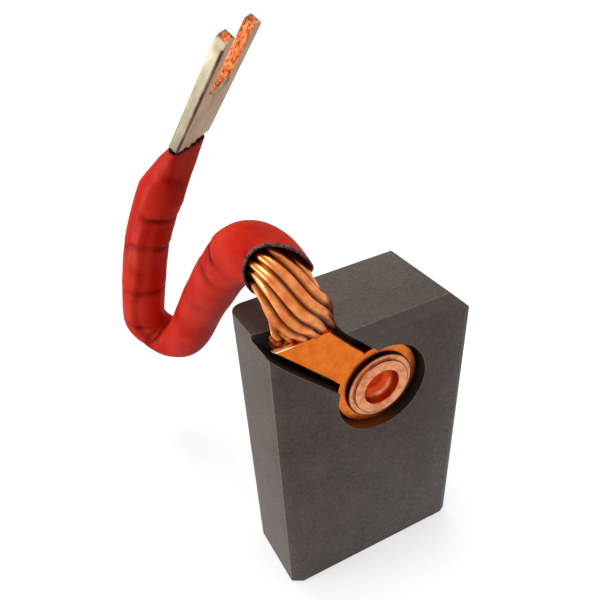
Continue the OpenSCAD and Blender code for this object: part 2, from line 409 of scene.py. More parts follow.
@dataclass(frozen=True)
class VarnishedSleeving(Finish):
    """Braided glass sleeving with a coat of red silicone varnish.

    It gives a saturated red with a soft gloss from the coat alone, a very fine
    weave of about 0.5 mm, and a painted shade, a darker red, in the folds and
    on the inner wall.
    """

    name: str = "sleeving_red"
    roughness: float = 0.6
    ior: float = 1.45
    specular: float = 0.0
    body: str = "cc2010"
    pale: str = "d43624"
    deep: str = "6a0502"
    coat: float = 0.13
    cells_per_mm: float = 2.0
    weave_spin: float = math.radians(45)

    def pattern(self, on: Surface) -> None:
        """Lay the varnish's tones, the painted shade in the folds, and the weave."""
        on.put({"Coat Weight": self.coat, "Coat IOR": self.ior})
        cloud = on.noise(on.place(), scale=0.12, detail=3.0)
        tint = on.ramp(cloud, (0.35, self.body), (0.68, self.pale))
        colour = on.blend(on.attribute("fold_shade"), tint, self.deep)
        cells = (self.cells_per_mm, self.cells_per_mm, 1.0)
        feeds = {"Vector": on.lay(), "Rotation": (0, 0, self.weave_spin), "Scale": cells}
        turned = on.node("Mapping", feeds=feeds).outputs[0]
        feeds = {"Vector": turned, "Scale": 1.0, "Color1": grey(0.0), "Color2": grey(1.0)}
        weave = on.node("TexChecker", feeds=feeds).outputs["Color"]
        mottle = on.noise(on.place(), scale=1.1, detail=3.0)
        gloss = on.ramp(mottle, (0.3, 0.26), (0.7, 0.42))
        on.put({"Base Color": colour, "Coat Roughness": gloss})
        on.bump(on.blend(0.75, weave, mottle), mm=0.05, strength=0.5)


@dataclass(frozen=True)
class CutYarn(Finish):
    """The sleeving's cut end, where brown varnish wets the bare glass yarns.

    It gives a dull purple-brown edge, mottled at the yarns' 0.8 mm.
    """

    name: str = "sleeving_cut"
    roughness: float = 0.8
    dark: str = "2a1412"
    pale: str = "8a5f5c"

    def pattern(self, on: Surface) -> None:
        """Lay the mottle."""
        spots = on.noise(on.place(), scale=1.3)
        on.put({"Base Color": on.ramp(spots, (0.4, self.dark), (0.62, self.pale))})


@dataclass(frozen=True)
class TerminalFinish(Finish):
    """A finish laid out in the terminal's own frame: x wide, y long, z front."""

    base: Triple = (-0.0154, 0.05, 0.104)
    turn: Triple = (math.radians(129), math.radians(-7), math.radians(28))

    def own(self, on: Surface, along: float = 1.0) -> Socket:
        """Give millimetres in the terminal's frame, scaled along its length."""
        where = on.node("TexCoord").outputs["Object"]
        feeds = {"Vector": where, "Location": self.base, "Rotation": self.turn}
        local = on.node("Mapping", {"vector_type": "TEXTURE"}, feeds).outputs[0]
        scale = Vector((1.0, along, 1.0)) / MM
        return on.node("Mapping", feeds={"Vector": local, "Scale": scale}).outputs[0]


@dataclass(frozen=True)
class TinPlate(TerminalFinish):
    """Dipped tin on copper, a few microns thick, with a painted shade line.

    It gives a soft creamy grey metal, streaked along the terminal and rubbed
    towards copper on its flats, and a painted brown shade line down the corner
    between a narrow side and a wide face.
    """

    name: str = "tin_dipped"
    metallic: float = 1.0
    roughness: float = 0.38
    fresh: str = "a89e88"
    aged: str = "90876f"
    rubbed: str = "a4876c"
    corner_shade: str = "54261a"
    corner_shade_x: float = -6.1
    corner_shade_z: float = 1.2
    corner_shade_to: float = 33.6

    def pattern(self, on: Surface) -> None:
        """Lay the streaks, the rubbed flats, the painted corner shade line and the fine grain."""
        cloud = on.noise(self.own(on, along=0.35), scale=0.5, detail=4.0)
        tint = on.ramp(cloud, (0.32, self.aged), (0.62, self.fresh))
        x, y, z = on.split(self.own(on))
        flats = on.fade(on.math("ABSOLUTE", z), low=0.9, high=1.3)
        wiped = on.fade(cloud, low=0.3, high=0.6, start=0.75, end=1.0)
        tint = on.blend(on.math("MULTIPLY", flats, wiped), tint, self.rubbed)
        # Painted shade: a brown line down the corner between the narrow side and the wide face.
        beside = on.math("SUBTRACT", x, self.corner_shade_x)
        before = on.math("SUBTRACT", z, self.corner_shade_z)
        away = on.length(on.node("CombineXYZ", feeds={0: beside, 2: before}).outputs[0])
        ragged = on.math("MULTIPLY_ADD", cloud, 0.35, away)
        corner_shade_line = on.fade(ragged, low=0.46, high=0.72, start=1.0, end=0.0)
        below_tip = on.math("LESS_THAN", y, self.corner_shade_to)
        colour = on.blend(on.math("MULTIPLY", corner_shade_line, below_tip), tint, self.corner_shade)
        on.put({"Base Color": colour, "Roughness": on.ramp(cloud, (0.3, 0.62), (0.7, 0.46))})
        on.bump(on.noise(self.own(on, along=0.4), scale=1.6, detail=3.0), mm=0.04, strength=0.5)


@dataclass(frozen=True)
class SawnCopper(TerminalFinish):
    """Copper strands bared where the pressed and tinned end was slotted.

    It gives rough orange lines about 0.5 mm wide along the cut, with dark gaps.
    """

    name: str = "copper_sawn"
    metallic: float = 1.0
    bright: str = "f09a62"
    dull: str = "b4552a"
    gap: str = "4a1606"

    def pattern(self, on: Surface) -> None:
        """Lay the strands' lines."""
        lines = on.noise(self.own(on, along=0.35), scale=1.9, detail=4.0, roughness=0.7)
        tint = on.ramp(lines, (0.34, self.gap), (0.46, self.dull), (0.66, self.bright))
        on.put({"Base Color": tint})
        on.bump(lines, mm=0.3, strength=0.8)


def deselect() -> None:
    """Leave nothing selected and no object in edit mode."""
    if bpy.context.object and bpy.context.object.mode != "OBJECT":
        bpy.ops.object.mode_set(mode="OBJECT")
    bpy.ops.object.select_all(action="DESELECT")


def activate(obj: bpy.types.Object) -> None:
    """Select one object alone and make it active."""
    deselect()
    obj.select_set(True)
    bpy.context.view_layer.objects.active = obj


def edit(obj: bpy.types.Object) -> None:
    """Open an object alone in edit mode."""
    activate(obj)
    bpy.ops.object.mode_set(mode="EDIT")


def done() -> None:
    """Leave edit mode."""
    bpy.ops.object.mode_set(mode="OBJECT")


def settle() -> None:
    """Work the selected object's place, turn and size into its mesh."""
    bpy.ops.object.transform_apply(location=True, rotation=True, scale=True)


def finish_modifiers(obj: bpy.types.Object) -> None:
    """Apply every modifier of an object."""
    activate(obj)
    for name in [m.name for m in obj.modifiers]:
        bpy.ops.object.modifier_apply(modifier=name)


def link(name: str, data: bpy.types.ID) -> bpy.types.Object:
    """Make an object at the origin from its data and put it in the scene."""
    obj = bpy.data.objects.new(name, data)
    bpy.context.scene.collection.objects.link(obj)
    return obj


def solid_copy(cad: str, name: str) -> bpy.types.Object:
    """Copy a CAD node's mesh, with joined vertices and whole flat faces."""
    weld_mm, flat_deg = 0.002, 0.6
    obj = link(name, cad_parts[cad].data.copy())
    obj.data.materials.clear()
    edit(obj)
    bpy.ops.mesh.select_all(action="SELECT")
    bpy.ops.mesh.remove_doubles(threshold=weld_mm * MM)
    bpy.ops.mesh.dissolve_limited(angle_limit=math.radians(flat_deg))
    done()
    return obj


def soften(obj: bpy.types.Object, width_mm: float, segments: int, angle_deg: float) -> None:
    """Round the edges sharper than an angle, and shade the object smooth."""
    made = obj.modifiers.new("edge", "BEVEL")
    made.width = width_mm * MM
    made.segments = segments
    made.limit_method = "ANGLE"
    made.angle_limit = math.radians(angle_deg)
    made.use_clamp_overlap = True
    finish_modifiers(obj)
    bpy.ops.object.shade_smooth_by_angle(angle=math.radians(40))


def dress(obj: bpy.types.Object, slot: str, cad: str, *materials: bpy.types.Material) -> None:
    """Give a piece its materials and its body, and hide the node it replaces."""
    for material in materials:
        obj.data.materials.append(material)
    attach(obj, "root")
    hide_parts(cad)
    LOG.info("%s: %d faces", obj.name, len(obj.data.polygons))


@dataclass
class Route:
    """The cord's route as a cubic B-spline of round points in millimetres.

    Its last points and both axes are the terminal's. Counted in stations, the
    section turns from twist_from on, and each end grows square to its face over
    the length of square. Below the start, a station is worth before millimetres.
    """

    points: tuple[Triple, ...] = (
        (-14.8, -5.5, 78.2), (-15.4, -6.1, 82.6), (-17.3, -6.5, 87), (-18.3, -5.3, 91.2),
        (-18.8, -1, 94.4), (-19.6, 5.5, 94.8), (-20.4, 11.4, 92), (-21.2, 17, 87),
        (-21.8, 23, 80.5), (-22.3, 30, 72.5), (-22.9, 37, 65), (-23.8, 43, 56.5),
        (-24.8, 49, 48.5), (-25.2, 54.8, 42.2), (-28.4, 59.8, 40.3), (-31.8, 63.4, 42.8),
        (-34.6, 64.2, 48), (-33.9, 61.6, 55.5), (-32.6, 59.6, 63.5), (-30.8, 59.2, 71.6),
        (-27.8, 59, 79.3), (-25, 56.8, 87), (-21.6, 54.8, 93), (-18.3, 52.4, 98.7),
        (-15.4, 50, 104),
    )
    across: Vector = field(default_factory=lambda: Vector((0.876, 0.466, 0.122)))
    along: Vector = field(default_factory=lambda: Vector((0.212, -0.6, 0.771)))
    twist_from: float = 18.0
    square: float = 1.2
    before: float = 4.0

    @property
    def last(self) -> int:
        """The station of the route's end."""
        return len(self.points) - 1

    def knot(self, i: int) -> Vector:
        """Give a control point, with one mirrored past each end."""
        if i < 0:
            return 2 * Vector(self.points[0]) - Vector(self.points[1])
        if i > self.last:
            return 2 * Vector(self.points[-1]) - Vector(self.points[-2])
        return Vector(self.points[i])

    def at(self, s: float) -> Vector:
        """Give the centreline's point at a station, in millimetres."""
        if s < 0:
            return self.at(0) + Vector((0, 0, self.before * s))
        i = min(int(math.floor(s)), self.last - 1)
        t = s - i
        weights = ((1 - t) ** 3, 3 * t**3 - 6 * t * t + 4, 1 + 3 * t + 3 * t * t - 3 * t**3, t**3)
        return sum((w * self.knot(i - 1 + k) for k, w in enumerate(weights)), Vector()) / 6

    def direction(self, s: float) -> Vector:
        """Give the centreline's direction, square to both end faces."""
        raw = (self.at(min(s + 0.05, self.last)) - self.at(max(s - 0.05, 0))).normalized()
        a = 1 - min(1.0, max(0.0, s / self.square))
        b = min(1.0, max(0.0, (s - self.last + self.square) / self.square))
        return ((1 - a - b) * raw + a * Vector((0, 0, 1)) + b * self.along).normalized()

    def axes(self, s: float) -> tuple[Vector, Vector, Vector]:
        """Give the direction and the two cross axes at a station."""
        d = self.direction(s)
        b = min(1.0, max(0.0, (s - self.twist_from) / (self.last - self.twist_from)))
        lean = (1 - b) * Vector((1, 0, 0)) + b * self.across
        x = (lean - lean.dot(d) * d).normalized()
        return d, x, d.cross(x)

    def lengths(self, stations: list[float]) -> list[float]:
        """Give the length along the centreline up to each station."""
        places = [self.at(s) for s in stations]
        total = [0.0]
        for a, b in zip(places, places[1:]):
            total.append(total[-1] + (b - a).length)
        return total


def lookup(keys: tuple[Triple, ...], s: float) -> tuple[float, float]:
    """Interpolate the two sizes in a table of stations, held at its ends."""
    if s <= keys[0][0]:
        return keys[0][1:]
    for a, b in zip(keys, keys[1:]):
        if s <= b[0]:
            return tuple(u + (v - u) * (s - a[0]) / (b[0] - a[0]) for u, v in zip(a[1:], b[1:]))
    return keys[-1][1:]


def grid_faces(rings: int, sides: int, start: int = 0, inward: bool = False) -> list[tuple[int, ...]]:
    """Give the faces of a swept wall, wound to point out, or in."""
    faces = []
    for i in range(rings - 1):
        for k in range(sides):
            a, b = start + i * sides + k, start + i * sides + (k + 1) % sides
            face = (a, b, b + sides, a + sides)
            faces.append(face[::-1] if inward else face)
    return faces


def lay_map(mesh: bpy.types.Mesh, coords: list[tuple[float, float]], span: float) -> None:
    """Write a UV map of millimetres, with the seam kept whole.

    Args:
        mesh: The mesh to write on.
        coords: Millimetres across and along for every vertex.
        span: Millimetres across of a whole ring, which closes at the seam.
    """
    layer = mesh.uv_layers.new(name="lay")
    for face in mesh.polygons:
        across = [coords[mesh.loops[j].vertex_index][0] for j in face.loop_indices]
        wraps = max(across) - min(across) > span / 2
        for j in face.loop_indices:
            u, v = coords[mesh.loops[j].vertex_index]
            layer.data[j].uv = (u + span if wraps and u < span / 2 else u, v)


def paint(mesh: bpy.types.Mesh, name: str, values: list[float]) -> None:
    """Store one value for every vertex."""
    made = mesh.attributes.new(name, "FLOAT", "POINT")
    made.data.foreach_set("value", values)


@dataclass
class ShuntRope:
    """The twisted copper rope, from the connector's mouth to the terminal.

    The sizes are stations with the rope's half width and half depth there. A
    wander is a share of the radius, a length in millimetres and a phase. A run
    of rings is its first station, its step and its count.
    """

    route: Route
    strands: int = 12
    per_strand: int = 10
    pitch_mm: float = -66.0
    sizes: tuple[Triple, ...] = (
        (0, 7.2, 2.95), (0.5, 6.9, 3.5), (1, 6.7, 3.95), (2, 6.4, 4.4), (3, 6.0, 4.6),
        (4, 5.6, 4.8), (5, 5.0, 4.8), (5.6, 4.7, 4.7), (22, 4.7, 4.7), (23, 5.2, 2.4), (24, 5.3, 1.0),
    )
    slant: float = 0.215
    lay_r: float = 5
    core: float = 0.785
    bead: float = 0.212
    wanders: tuple[Triple, ...] = ((0.055, 5.3, 2.3), (0.035, 2.9, 4.1))
    gap_shade_from: float = 0.42
    gap_shade_full: float = 0.98
    runs: tuple[tuple[float, float, int], ...] = ((0, 0.1, 60), (6, 0.25, 61), (21.3, 0.1, 28))

    def factor(self, strand: int, offset: float, mm: float) -> tuple[float, float]:
        """Give how far a strand's surface reaches, as a share of the rope's radius.

        Args:
            strand: The strand's number.
            offset: Place across the strand, from minus one to one.
            mm: Millimetres along the rope.

        Returns:
            The share of the radius, and how deep in the gap the place lies, which sets the painted gap
            shade.
        """
        half = math.pi / self.strands
        wander = sum(size * math.sin(mm / span + strand * phase) for size, span, phase in self.wanders)
        angle = offset * half
        inside = self.bead * self.bead - (self.core * math.sin(angle)) ** 2
        reach = self.core * math.cos(angle) + math.sqrt(max(0.0, inside))
        return reach + wander * (1 - offset * offset), smooth(abs(offset), self.gap_shade_from, self.gap_shade_full)

    def build(self, finish: DrawnWire) -> bpy.types.Object:
        """Model the rope's twisted strands."""
        stations = [start + i * step for start, step, count in self.runs for i in range(count)]
        stations = [s for s in stations if s <= self.route.last]
        along = self.route.lengths(stations)
        sides = self.strands * self.per_strand
        girth = 2 * math.pi * self.lay_r
        verts, coords, gap_shades = [], [], []
        for s, mm in zip(stations, along):
            centre = self.route.at(s)
            _, x, y = self.route.axes(s)
            a, b = lookup(self.sizes, s)
            for k in range(sides):
                strand, step = divmod(k, self.per_strand)
                offset = 2 * (step + 0.5) / self.per_strand - 1
                share, gap = self.factor(strand, offset, mm)
                turn = 2 * math.pi * (k + 0.5) / sides + 2 * math.pi * mm / self.pitch_mm
                sink = self.slant * math.cos(turn) * (1 - smooth(s, 0, 1.5))
                down = Vector((0, 0, -self.route.before * sink))
                out = a * math.cos(turn) * x + b * math.sin(turn) * y
                verts.append((centre + down + share * out) * MM)
                coords.append((girth * (k + 0.5) / sides, mm))
                gap_shades.append(gap)
        faces = grid_faces(len(stations), sides)
        faces.append(tuple(range(sides))[::-1])
        faces.append(tuple((len(stations) - 1) * sides + k for k in range(sides)))
        mesh = bpy.data.meshes.new("shunt_rope_strands")
        mesh.from_pydata([tuple(v) for v in verts], [], faces)
        lay_map(mesh, coords, girth)
        # The gap value sets the wire's painted shade between strands.
        paint(mesh, "gap", gap_shades)
        mesh.polygons.foreach_set("use_smooth", [True] * len(mesh.polygons))
        obj = link("shunt_rope_strands", mesh)
        dress(obj, "rope", "shunt_rope", finish.build())
        return obj


@dataclass(frozen=True)
class Crease:
    """One fold of the sleeving: a ridge with the wall dented beside it.

    The reach is in degrees each way, the width in stations, the depth in
    millimetres. The side is 1 where the dent lies before the ridge, else -1.
    """

    station: float
    angle: float
    reach: float
    width: float
    depth: float
    skew: float = 0.0
    side: int = 1
    fade: float = 3.0


def uneven(turn: float, size: float, along: float) -> float:
    """Give noise round and along a tube, without a seam."""
    return field_noise.noise(Vector((math.cos(turn) * size, math.sin(turn) * size, along)))


@dataclass
class Sleeving:
    """The red sleeving, loose on the rope, with its folds and cut ends.

    The sizes are stations with the outer half width and half depth there. Its
    lower mouth slants by a share of a station, most at the slant's angle, and
    a lengthwise fold runs at its own angle up the last leg.
    """

    route: Route
    sides: int = 160
    rings: int = 401
    inner_every: int = 4
    teeth: int = 52
    tooth: float = 0.3
    lay_r: float = 6.2
    wall: float = 0.5
    start: float = 3.55
    end: float = 23.74
    slant: float = 0.62
    slant_angle: float = 38.0
    slant_fades: float = 2.2
    square_from: float = 21.6
    fold_angle: float = 222.0
    fold_starts: tuple[float, float] = (14.6, 15.4)
    fold_ends: tuple[float, float] = (20.2, 21.0)
    loose_mm: float = 0.22
    tight_from: float = 22.5
    inner_share: float = 0.7
    sizes: tuple[Triple, ...] = (
        (3.0, 6.8, 6.7), (3.6, 6.75, 6.65), (4.4, 6.6, 6.5), (5.4, 6.35, 6.3), (21.5, 6.25, 6.2),
        (22.5, 5.9, 4.0), (23.3, 6.2, 2.4), (23.74, 6.4, 1.75),
    )
    creases: tuple[Crease, ...] = (
        Crease(20.85, 255, 75, 0.12, 0.9, 0.12), Crease(19.6, 250, 85, 0.13, 1.0, 0.16),
        Crease(17.95, 250, 80, 0.12, 0.85, 0.14), Crease(18.75, 235, 45, 0.14, 0.35, -0.1),
        Crease(16.35, 245, 65, 0.13, 0.7, -0.25), Crease(15.35, 235, 55, 0.15, 0.9, 0.55),
        Crease(14.5, 225, 50, 0.14, 0.7, -0.45, -1), Crease(6.3, 200, 55, 0.2, 1.0, 0.35, -1),
        Crease(7.55, 200, 70, 0.13, 1.0, 0.2), Crease(6.95, 190, 40, 0.1, 0.5, -0.3, -1),
        Crease(9.4, 160, 60, 0.3, 0.3, 0.2), Crease(11.0, 170, 70, 0.3, 0.3, -0.2),
        Crease(22.3, 235, 60, 0.16, 0.5, -0.3, -1), Crease(4.6, 235, 70, 0.3, 0.3, 0.3),
    )

    def displacement(self, s: float, angle: float) -> tuple[float, float]:
        """Give how far the wall moves out, in millimetres, and how much painted shade its fold gets."""
        total, fold_darkening = 0.0, 0.0
        turn = math.radians(angle)
        for crease in self.creases:
            away = (angle - crease.angle + 180) % 360 - 180
            gap = crease.side * (s - crease.station - crease.skew * away / crease.reach) / crease.width
            if abs(away) > crease.reach * 1.7 or abs(gap) > 5 * crease.fade:
                continue
            stray = uneven(turn, 1.2, crease.station * 3)
            gap += 1.3 * stray
            window = math.exp(-1.5 * (away / crease.reach) ** 2) * min(1.2, max(0.35, 0.9 + 1.3 * stray))
            ridge = 0.5 + 0.5 * math.tanh(1.6 * gap)
            dent = (1 - ridge) * math.exp(min(0.0, gap) / crease.fade)
            total += crease.depth * window * (0.4 * ridge * math.exp(-max(0.0, gap) / 1.3) - dent)
            # Painted shade gathers just inside each dent.
            close = math.exp(-((gap + 0.9) ** 2) / 1.2)
            fold_darkening = max(fold_darkening, close * window * min(1.0, crease.depth))
        along = smooth(s, *self.fold_starts) * (1 - smooth(s, *self.fold_ends))
        off = angle - self.fold_angle - 6 * math.sin(2.1 * s)
        total += along * (0.28 * math.exp(-((off / 11) ** 2)) - 0.22 * math.exp(-(((off - 20) / 12) ** 2)))
        return total, fold_darkening

    def rim(self, s: float, angle: float) -> float:
        """Give how far a yarn's end stands out along the sleeving at its rims."""
        if s in (self.start, self.end):
            return self.tooth * abs(math.sin(math.radians(angle) * self.teeth / 2))
        return 0.0

    def section(self, s: float, turn: float) -> Vector:
        """Give the section's unit shape: round, and squarer towards the terminal."""
        across, deep = math.cos(turn), math.sin(turn)
        power = 2 + 2.0 * smooth(s, self.square_from, self.end)
        scale = (abs(across) ** power + abs(deep) ** power) ** (-1 / power)
        return Vector((across * scale, deep * scale))

    def ring(self, s: float, inset: float) -> tuple[list[Vector], list[float]]:
        """Give a ring's points in metres and the painted fold shade of each one."""
        points, fold_shades = [], []
        level = None
        for k in range(self.sides):
            angle = 360 * (k + 0.5) / self.sides
            lean = self.slant * math.cos(math.radians(angle - self.slant_angle))
            here = s - lean * (1 - smooth(s, self.start, self.start + self.slant_fades))
            if level is None or here != s:
                level = (self.route.at(here), *self.route.axes(here))
            centre, d, x, y = level
            a, b = (size - inset for size in lookup(self.sizes, here))
            move, fold_shade = self.displacement(here, angle)
            turn = math.radians(angle)
            loose = self.loose_mm * uneven(turn, 1.3, here * 0.9)
            out = self.section(here, turn)
            swell = move * (self.inner_share if inset else 1)
            swell += loose * (1 - smooth(here, self.tight_from, self.end))
            spot = centre + (a + swell) * out.x * x + (b + swell) * out.y * y
            sense = -1 if s == self.start else 1
            points.append((spot + sense * self.rim(s, angle) * d) * MM)
            fold_shades.append(fold_shade)
        return points, fold_shades

    def build(self, coat: VarnishedSleeving, cut: CutYarn) -> bpy.types.Object:
        """Model the sleeving as a closed shell with an outer and an inner wall."""
        rings, sides = self.rings, self.sides
        stations = [self.start + (self.end - self.start) * i / (rings - 1) for i in range(rings)]
        stations[-1] = self.end
        along = self.route.lengths(stations)
        girth = 2 * math.pi * self.lay_r
        verts, fold_shades, coords = [], [], []
        for inset, every in ((0.0, 1), (self.wall, self.inner_every)):
            for s, mm in zip(stations[::every], along[::every]):
                points, fold_darkening = self.ring(s, inset)
                verts += points
                # The inner wall is painted in full shade; the outer wall is shaded in its folds.
                fold_shades += [1.0] * sides if inset else fold_darkening
                coords += [(girth * (k + 0.5) / sides, mm) for k in range(sides)]
        base = rings * sides
        faces = grid_faces(rings, sides) + grid_faces(len(verts) // sides - rings, sides, base, True)
        rims = []
        for out_row, in_row, flip in ((0, base, False), (base - sides, len(verts) - sides, True)):
            for k in range(sides):
                j = (k + 1) % sides
                face = (out_row + j, out_row + k, in_row + k, in_row + j)
                rims.append(face[::-1] if flip else face)
        mesh = bpy.data.meshes.new("sleeving")
        mesh.from_pydata([tuple(v) for v in verts], [], faces + rims)
        lay_map(mesh, coords, girth)
        paint(mesh, "fold_shade", fold_shades)
        obj = link("sleeving", mesh)
        dress(obj, "sleeve", "sleeve", coat.build(), cut.build())
        edge = set(range(sides))
        for face in mesh.polygons:
            face.use_smooth = True
            if face.index >= len(faces) or edge.intersection(face.vertices):  # the cut ends
                face.material_index = 1
        return obj


@dataclass
class CarbonBlock:
    """The graphite block with its recess, slot and cut corner."""

    edge_mm: float = 0.38
    flat_mm2: float = 30.0
    half_x: float = 25.4
    half_y: float = 11.1
    high: float = 79.4
    below_skin: float = 0.35
    painted_shade_x: float = 20
    painted_shade_z: float = 40
    corner: tuple[float, float] = (16, 70)

    def build(self, ground: Electrographite, milled: MilledGraphite) -> bpy.types.Object:
        """Model the block with worn edges that carry a painted edge highlight, and a milled recess and slot
        in painted shade.
        """
        obj = solid_copy("carbon_block", "graphite_block")
        soften(obj, width_mm=self.edge_mm, segments=2, angle_deg=32)
        dress(obj, "carbon", "carbon_block", ground.build(), milled.build())
        # Narrow bevel faces carry wear and a painted edge highlight.
        wear_and_edge_highlight = obj.data.attributes.new("wear_and_edge_highlight", "FLOAT", "FACE")
        narrow = [float(face.area < self.flat_mm2 * MM * MM) for face in obj.data.polygons]
        wear_and_edge_highlight.data.foreach_set("value", narrow)
        # Faces inside the recess and slot get the near-black painted shade material.
        for face in obj.data.polygons:
            c = face.center / MM
            depth = min(self.half_x - abs(c.x), self.half_y - abs(c.y), self.high - c.z, c.z)
            in_painted_shade = abs(c.x) < self.painted_shade_x and c.z > self.painted_shade_z
            at_corner = c.x > self.corner[0] and c.z > self.corner[1]
            if depth > self.below_skin and in_painted_shade and not at_corner:
                face.material_index = 1
        return obj


def pick(obj: bpy.types.Object, what: str, test: Callable[..., bool]) -> None:
    """Select in edit mode the parts of a mesh that pass a test, and no others.

    Args:
        obj: The active object, in edit mode.
        what: "verts", "edges" or "faces".
        test: Takes a vertex's place in millimetres; an edge's two ends each
            have to pass. For a face it takes its middle and its normal.
    """
    bpy.ops.mesh.select_all(action="DESELECT")
    bpy.ops.mesh.select_mode(type=what[:-1].upper())
    made = bmesh.from_edit_mesh(obj.data)
    for part in getattr(made, what):
        if what == "verts":
            part.select_set(test(part.co / MM))
        elif what == "edges":
            a, b = (v.co / MM for v in part.verts)
            part.select_set(test(a) and test(b))
        else:
            part.select_set(test(part.calc_center_median() / MM, part.normal))
    made.select_flush_mode()
    bmesh.update_edit_mesh(obj.data)


def bevel(
    obj: bpy.types.Object, test: Callable[..., bool], mm: float, steps: int, clamp: bool = False
) -> None:
    """Round the edges whose ends both pass a test, in edit mode."""
    pick(obj, "edges", test)
    bpy.ops.mesh.bevel(offset=mm * MM, segments=steps, affect="EDGES", clamp_overlap=clamp)


def pull(mm: float) -> None:
    """Extrude the selected faces along Y."""
    bpy.ops.mesh.extrude_region_move(TRANSFORM_OT_translate={"value": (0, mm * MM, 0)})


def box(low: Triple, high: Triple) -> bpy.types.Object:
    """Add a box between two corners in millimetres."""
    a, b = Vector(low) * MM, Vector(high) * MM
    bpy.ops.mesh.primitive_cube_add(size=1, location=(a + b) / 2, scale=b - a)
    settle()
    return bpy.context.object


def drum(radius: float, low: Triple, high: Triple, sides: int) -> bpy.types.Object:
    """Add a cylinder of a radius between two points in millimetres."""
    along = Vector(high) - Vector(low)
    turn = along.to_track_quat("Z", "Y").to_euler()
    middle = (Vector(low) + Vector(high)) / 2 * MM
    bpy.ops.mesh.primitive_cylinder_add(
        vertices=sides, radius=radius * MM, depth=along.length * MM, location=middle, rotation=turn
    )
    settle()
    return bpy.context.object


class Join(Enum):
    """What a boolean step does."""

    ADD = "UNION"
    CUT = "DIFFERENCE"


def combine(obj: bpy.types.Object, tool: bpy.types.Object, how: Join) -> None:
    """Join a second solid to an object or cut it away, and remove it."""
    made = obj.modifiers.new("join", "BOOLEAN")
    made.operation = how.value
    made.object = tool
    made.solver = "EXACT"
    finish_modifiers(obj)
    bpy.data.objects.remove(tool, do_unlink=True)


